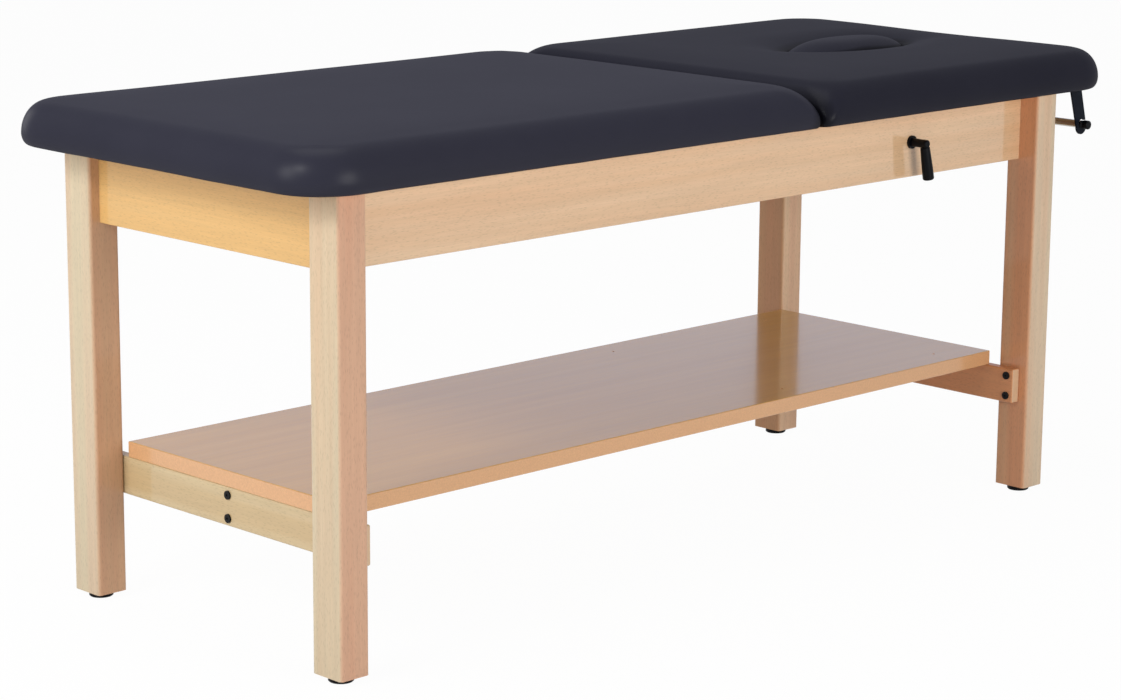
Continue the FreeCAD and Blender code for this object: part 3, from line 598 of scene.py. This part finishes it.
class Pad:
    """Outlines and heights of one upholstered pad between its free end and the split."""

    def __init__(self, node, board):
        self.low, self.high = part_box(node)
        self.board_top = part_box(board)[1].z
        self.free_is_low = abs(self.low.x) > abs(self.high.x)
        self.half_y = self.high.y
        self.thickness = self.high.z - self.low.z
        straight_x = self.high.x - self.low.x - OUTER_CORNER - SPLIT_CORNER
        self.steps_x = round(straight_x / MESH_STEP)
        self.steps_y = round((2 * self.half_y - 2 * OUTER_CORNER) / MESH_STEP)

    def ring(self, drawn, drawn_split, share, pleat=SPLIT_PLEAT):
        """Outline drawn in by two amounts; share goes from the lower edge, -1, by the sides, 0,
        to the crown, 1."""
        outer = max(OUTER_CORNER - drawn, CROWN_CORNER)
        split = SPLIT_CORNER + (SPLIT_TOP_CORNER - SPLIT_CORNER) * max(share, 0.0)
        split -= (SPLIT_CORNER - SPLIT_LOW_CORNER) * max(-share, 0.0)
        pleat *= math.sin(math.pi * (1 + share) / 2) ** 2
        if self.free_is_low:
            ends = (self.low.x + drawn, self.high.x - drawn_split)
            radii, pleats = (outer, split, split, outer), (0.0, pleat, pleat, 0.0)
        else:
            ends = (self.low.x + drawn_split, self.high.x - drawn)
            radii, pleats = (split, outer, outer, split), (pleat, 0.0, 0.0, pleat)
        y = self.half_y - drawn
        return rounded_ring(*ends, y, radii, pleats, self.steps_x, self.steps_y)

    def top(self, point):
        """Height of the crowned top over a point."""
        x, y = point
        depth = min(x - self.low.x, self.high.x - x, self.half_y - abs(y)) - UPPER_INSET
        share = min(1.0, max(0.0, depth / CROWN_RUN))
        return self.high.z - CROWN + CROWN * (1 - (1 - share) ** 2)


def coons(ring, steps_x, steps_y):
    """Rows of points that fill a ring of 2 * (steps_x + steps_y) points."""
    count = len(ring)
    bottom = [ring[i] for i in range(steps_x + 1)]
    right = [ring[steps_x + j] for j in range(steps_y + 1)]
    top = [ring[2 * steps_x + steps_y - i] for i in range(steps_x + 1)]
    left = [ring[(count - j) % count] for j in range(steps_y + 1)]
    rows = []
    for j in range(steps_y + 1):
        v = j / steps_y
        row = []
        for i in range(steps_x + 1):
            u = i / steps_x
            across = bottom[i].lerp(top[i], v) + left[j].lerp(right[j], u)
            corners = bottom[0].lerp(bottom[-1], u).lerp(top[0].lerp(top[-1], u), v)
            row.append(across - corners)
        rows.append(row)
    return rows


def stitch(mesh, *rings):
    """Quads between each ring and the next, all of the same count."""
    for first, second in zip(rings, rings[1:]):
        count = len(first)
        for index in range(count):
            following = (index + 1) % count
            mesh.faces.new((first[index], first[following], second[following], second[index]))


def ring_vertices(mesh, points, heights):
    return [mesh.verts.new((p.x, p.y, z)) for p, z in zip(points, heights)]


def flat_ring(mesh, points, z):
    return ring_vertices(mesh, points, [z] * len(points))


def plan(ring):
    """The places of a ring's vertices, seen from above."""
    return [vertex.co.xy for vertex in ring]


def fill_rows(mesh, ring, steps_x, steps_y, height):
    """Fills a ring of vertices with rows of quads; height gives z for each inner point."""
    count = len(ring)
    rows = coons(plan(ring), steps_x, steps_y)
    grid = []
    for j, row in enumerate(rows):
        line = []
        for i, point in enumerate(row):
            if j == 0:
                line.append(ring[i])
            elif j == steps_y:
                line.append(ring[2 * steps_x + steps_y - i])
            elif i == 0:
                line.append(ring[count - j])
            elif i == steps_x:
                line.append(ring[steps_x + j])
            else:
                line.append(mesh.verts.new((point.x, point.y, height(point))))
        grid.append(line)
    for low, high in zip(grid, grid[1:]):
        for i in range(steps_x):
            mesh.faces.new((low[i], low[i + 1], high[i + 1], high[i]))


def side_rings(mesh, pad):
    """The board's outline, and rings up the sides of a pad from its lower edge to the start of
    the crown."""
    board = pad.ring(BOARD_INSET, SPLIT_BOARD_INSET, 0.0, pleat=0.0)
    rings = []
    for height, drawn, drawn_split in pad_levels(pad.thickness):
        below = height < LOWER_HEIGHT
        span = LOWER_HEIGHT if below else pad.thickness - LOWER_HEIGHT
        outline = pad.ring(drawn, drawn_split, (height - LOWER_HEIGHT) / span)
        rings.append(flat_ring(mesh, outline, pad.low.z + height))
    return board, rings


def finish_mesh(mesh, name):
    """A smooth-shaded object from a finished mesh."""
    bmesh.ops.recalc_face_normals(mesh, faces=mesh.faces)
    data = bpy.data.meshes.new(name)
    mesh.to_mesh(data)
    mesh.free()
    data.polygons.foreach_set("use_smooth", [True] * len(data.polygons))
    piece = bpy.data.objects.new(name, data)
    scene.collection.objects.link(piece)
    return piece


def main_pad(pad):
    """Closed pad with a pocket for its board underneath."""
    mesh = bmesh.new()
    board, rings = side_rings(mesh, pad)
    stitch(mesh, *rings)
    steps_x, steps_y = pad.steps_x + STEPS_CORNER, pad.steps_y + STEPS_CORNER
    fill_rows(mesh, rings[-1], steps_x, steps_y, pad.top)
    lip = flat_ring(mesh, board, pad.low.z)
    pocket = flat_ring(mesh, board, pad.board_top)
    stitch(mesh, lip, rings[0])
    stitch(mesh, pocket, lip)
    fill_rows(mesh, pocket, steps_x, steps_y, lambda point: pad.board_top)
    return finish_mesh(mesh, "main_pad")


def oval_points(ring, half_length, half_width):
    """For each point of a ring, the point of an oval round the opening that lies in its direction."""
    points = []
    for point in ring:
        turn = math.atan2(point.y, point.x - opening_centre.x)
        points.append(Vector((opening_centre.x + half_length * math.cos(turn),
                              opening_centre.y + half_width * math.sin(turn))))
    return points


def dish_depth(point, half_length, half_width):
    """How far the cover is drawn down at a point round the face opening."""
    offset = point - opening_centre.xy
    near, far = 0.0, DISH_RUN
    for _ in range(DISH_TRIES):
        grow = (near + far) / 2
        if (offset.x / (half_length + grow)) ** 2 + (offset.y / (half_width + grow)) ** 2 > 1:
            near = grow
        else:
            far = grow
    return DISH_DEPTH * (1 - near / DISH_RUN) ** DISH_POWER


def head_pad(pad):
    """Closed pad with a pocket for its board and the face opening, dished round the opening."""
    half_length = opening_half_length + PLUG_GAP
    half_width = opening_half_width + PLUG_GAP
    mesh = bmesh.new()
    board, rings = side_rings(mesh, pad)
    outer = plan(rings[-1])
    rim = oval_points(outer, half_length + RIM_RADIUS, half_width + RIM_RADIUS)
    for step in range(1, HOLE_STEPS + 1):
        points = [a.lerp(b, step / HOLE_STEPS) for a, b in zip(outer, rim)]
        heights = [pad.top(p) - dish_depth(p, half_length, half_width) for p in points]
        rings.append(ring_vertices(mesh, points, heights))
    rim_top = [vertex.co.z for vertex in rings[-1]]
    for step in range(1, RIM_STEPS + 1):
        turn = math.pi / 2 * step / RIM_STEPS
        grow = RIM_RADIUS * (1 - math.sin(turn))
        drop = RIM_RADIUS * (1 - math.cos(turn))
        points = oval_points(outer, half_length + grow, half_width + grow)
        rings.append(ring_vertices(mesh, points, [z - drop for z in rim_top]))
    wall, wall_top = plan(rings[-1]), [vertex.co.z for vertex in rings[-1]]
    for share in WALL_SHARES:
        heights = [z + (pad.board_top - z) * share for z in wall_top]
        rings.append(ring_vertices(mesh, wall, heights))
    pocket = flat_ring(mesh, board, pad.board_top)
    lip = flat_ring(mesh, board, pad.low.z)
    stitch(mesh, *rings, pocket, lip, rings[0])
    return finish_mesh(mesh, "head_pad")


def plug_pad():
    """Oval pad; its top and bottom close along the line between the oval's foci."""
    focus = math.sqrt(opening_half_length ** 2 - opening_half_width ** 2)
    turns = [2 * math.pi * step / PLUG_STEPS for step in range(PLUG_STEPS)]

    def oval(across):
        along = math.sqrt(across ** 2 + focus ** 2)
        return [Vector((opening_centre.x + along * math.cos(turn),
                        opening_centre.y + across * math.sin(turn))) for turn in turns]

    def dome_height(point):
        out = math.hypot((point.x - opening_centre.x) / opening_half_length,
                         (point.y - opening_centre.y) / opening_half_width)
        return plug_high.z - PLUG_DOME * min(1.0, out) ** PLUG_DOME_POWER

    mesh = bmesh.new()
    rings = []
    for step in range(PLUG_RINGS + 1):
        rings.append(flat_ring(mesh, oval(opening_half_width * step / PLUG_RINGS), plug_low.z))
    side_height = plug_high.z - PLUG_DOME - PLUG_GROOVE - plug_low.z
    for share in PLUG_SIDE_SHARES:
        rings.append(flat_ring(mesh, oval(opening_half_width), plug_low.z + side_height * share))
    for step in range(1, PLUG_DOME_RINGS + 1):
        inward = (step / PLUG_DOME_RINGS) ** PLUG_DOME_SPREAD
        points = oval(opening_half_width * (1 - inward))
        rings.append(ring_vertices(mesh, points, [dome_height(p) for p in points]))
    stitch(mesh, *rings)
    bmesh.ops.remove_doubles(mesh, verts=rings[0] + rings[-1], dist=MERGE_DISTANCE)
    return finish_mesh(mesh, "plug_pad")


def pull_sides(piece, pad):
    """Draws the sides in a little between the corners, as a tight cover does, and lets the lower
    edge waver."""
    for vertex in piece.data.vertices:
        x, y, z = vertex.co
        along = (x - pad.low.x) / (pad.high.x - pad.low.x)
        across = y / pad.half_y
        level = (z - pad.low.z) / pad.thickness
        bow = SIDE_PULL * math.sin(math.pi * along)
        vertex.co.y -= bow * across * abs(across) ** SIDE_PULL_POWER
        end_bow = SIDE_PULL * (1 - across ** 2)
        toward = 2 * along - 1
        vertex.co.x -= end_bow * toward * abs(toward) ** END_PULL_POWER
        if WAVER_FROM < level < WAVER_TO:
            wave = noise.noise(Vector((x * WAVER_SCALE, y * WAVER_SCALE, WAVER_SLICE)))
            waver = wave * WAVER_DEPTH * (1 - level / WAVER_TO)
            vertex.co.z += max(waver, pad.low.z - z)


def even_out(data, offsets, fixed):
    """Averages offsets over neighbouring vertices; fixed ones stay at 0."""
    for _ in range(SWELL_EVEN_PASSES):
        sums = [offset.copy() for offset in offsets]
        counts = [1] * len(offsets)
        for edge in data.edges:
            first, second = edge.vertices
            sums[first] += offsets[second]
            sums[second] += offsets[first]
            counts[first] += 1
            counts[second] += 1
        offsets = [Vector() if index in fixed else total / count
                   for index, (total, count) in enumerate(zip(sums, counts))]
    return offsets


def swell(piece, held_below, cap):
    """Lets the skin press out like foam under a tight cover, by the cap at most, held where it
    lies on the board."""
    data = piece.data
    rest = [vertex.co.copy() for vertex in data.vertices]
    held = piece.vertex_groups.new(name="held")
    fixed = {index for index, place in enumerate(rest) if place.z < held_below}
    held.add(sorted(fixed), 1.0, "REPLACE")
    cloth = piece.modifiers.new("swell", "CLOTH")
    for key, value in SWELL_CLOTH.items():
        setattr(cloth.settings, key, value)
    cloth.settings.vertex_group_mass = held.name
    cloth.settings.effector_weights.gravity = 0
    for number in range(1, SWELL_FRAMES + 1):
        scene.frame_set(number)
    moved = piece.evaluated_get(bpy.context.evaluated_depsgraph_get()).data
    places = [vertex.co.copy() for vertex in moved.vertices]
    piece.modifiers.remove(cloth)
    piece.vertex_groups.remove(held)
    offsets = [target - place for target, place in zip(places, rest)]
    offsets = [offset * min(1.0, cap / max(offset.length, TINY)) for offset in offsets]
    for vertex, place, offset in zip(data.vertices, rest, even_out(data, offsets, fixed)):
        vertex.co = place + offset
    scene.frame_set(1)


def dress(piece, node, body, cover):
    """Gives a pad its cover and its place in the model."""
    piece.data.materials.append(cover)
    smooth = piece.modifiers.new("smooth", "SUBSURF")
    smooth.levels = smooth.render_levels = 1
    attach(piece, body)
    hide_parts(node)


main_form = Pad("main_cushion", "main_board")
head_form = Pad("head_cushion", "head_board")
main = main_pad(main_form)
head = head_pad(head_form)
plug = plug_pad()
pull_sides(main, main_form)
pull_sides(head, head_form)
swell(main, main_form.board_top, SWELL_CAP)
swell(head, head_form.board_top, SWELL_CAP)
swell(plug, head_form.board_top + PLUG_HELD, PLUG_SWELL_CAP)
dress(main, "main_cushion", "table_frame", upholstery)
dress(head, "head_cushion", "head_section", shaded_head_upholstery)
dress(plug, "plug_cushion", "plug", plug_upholstery)


# Floor and light

def seen_share(tree, path, glossy_share):
    """1 for what the camera sees, a share of it for what is mirrored, and 0 for other light."""
    seen = math_node(tree, "MAXIMUM", path["Is Camera Ray"], path["Is Transmission Ray"])
    mirrored = math_node(tree, "MULTIPLY", path["Is Glossy Ray"], glossy_share)
    return math_node(tree, "MAXIMUM", seen, mirrored)


def floor():
    """White floor that keeps the table's shadow."""
    mesh = bmesh.new()
    corners = ((-1, -1), (1, -1), (1, 1), (-1, 1))
    mesh.faces.new([mesh.verts.new((x * FLOOR_HALF, y * FLOOR_HALF, 0.0)) for x, y in corners])
    piece = finish_mesh(mesh, "studio_floor")
    material, tree, shader = start_material("studio_floor")
    feed(tree, shader, {"Base Color": FLOOR_GREY, "Roughness": 0.9, "Specular IOR Level": 0.0})
    path = add(tree, "ShaderNodeLightPath").outputs
    seen = seen_share(tree, path, FLOOR_GLOSSY_SHARE)
    share = math_node(tree, "MULTIPLY", seen, FLOOR_WHITE_SHARE)
    white = add(tree, "ShaderNodeEmission", {"Color": WHITE, "Strength": 1.0})
    blend = add(tree, "ShaderNodeMixShader", {0: share, 1: shader.outputs[0], 2: white.outputs[0]})
    feed(tree, tree.nodes["Material Output"], {"Surface": blend.outputs[0]})
    piece.data.materials.append(material)


def world():
    """White surroundings that give less light than they show, bluish where they are mirrored."""
    made = bpy.data.worlds.new("studio")
    scene.world = made
    made.use_nodes = True
    tree = made.node_tree
    path = add(tree, "ShaderNodeLightPath").outputs
    seen = seen_share(tree, path, WORLD_GLOSSY_SHARE)
    feed(tree, tree.nodes["Background"], {
        "Color": mix_colour(tree, path["Is Glossy Ray"], WHITE, WORLD_GLOSSY_TINT),
        "Strength": math_node(tree, "ADD", math_node(tree, "MULTIPLY", seen, WORLD_SEEN), WORLD_FILL),
    })


def lamp(name, place, target, size, watts, colour):
    """Round soft lamp that shines at a target."""
    data = bpy.data.lights.new(name, "AREA")
    data.shape = "DISK"
    data.size = size
    data.energy = watts
    data.color = colour
    piece = bpy.data.objects.new(name, data)
    piece.location = place
    piece.rotation_euler = (Vector(target) - Vector(place)).to_track_quat("-Z", "Y").to_euler()
    scene.collection.objects.link(piece)


def camera():
    """The fitted camera; yaw turns from +Y towards +X."""
    yaw, pitch, roll = (math.radians(angle)
                        for angle in (CAMERA_YAW_DEG, CAMERA_PITCH_DEG, CAMERA_ROLL_DEG))
    level = Vector((math.sin(yaw), math.cos(yaw), 0.0)) * math.cos(pitch)
    forward = level + Vector((0.0, 0.0, math.sin(pitch)))
    right = Vector((math.cos(yaw), -math.sin(yaw), 0.0))
    up = right.cross(forward)
    across = right * math.cos(roll) + up * math.sin(roll)
    upward = up * math.cos(roll) - right * math.sin(roll)
    turn = Matrix((across, upward, -forward)).transposed().to_4x4()
    data = bpy.data.cameras.new("camera")
    data.sensor_fit = "HORIZONTAL"
    data.sensor_width = SENSOR_MM
    data.lens = FOCAL_PX / PHOTO_WIDTH * SENSOR_MM
    piece = bpy.data.objects.new("camera", data)
    piece.matrix_world = Matrix.Translation(CAMERA_PLACE) @ turn
    scene.collection.objects.link(piece)
    scene.camera = piece


floor()
world()
for settings in LAMPS:
    lamp(*settings)
camera()
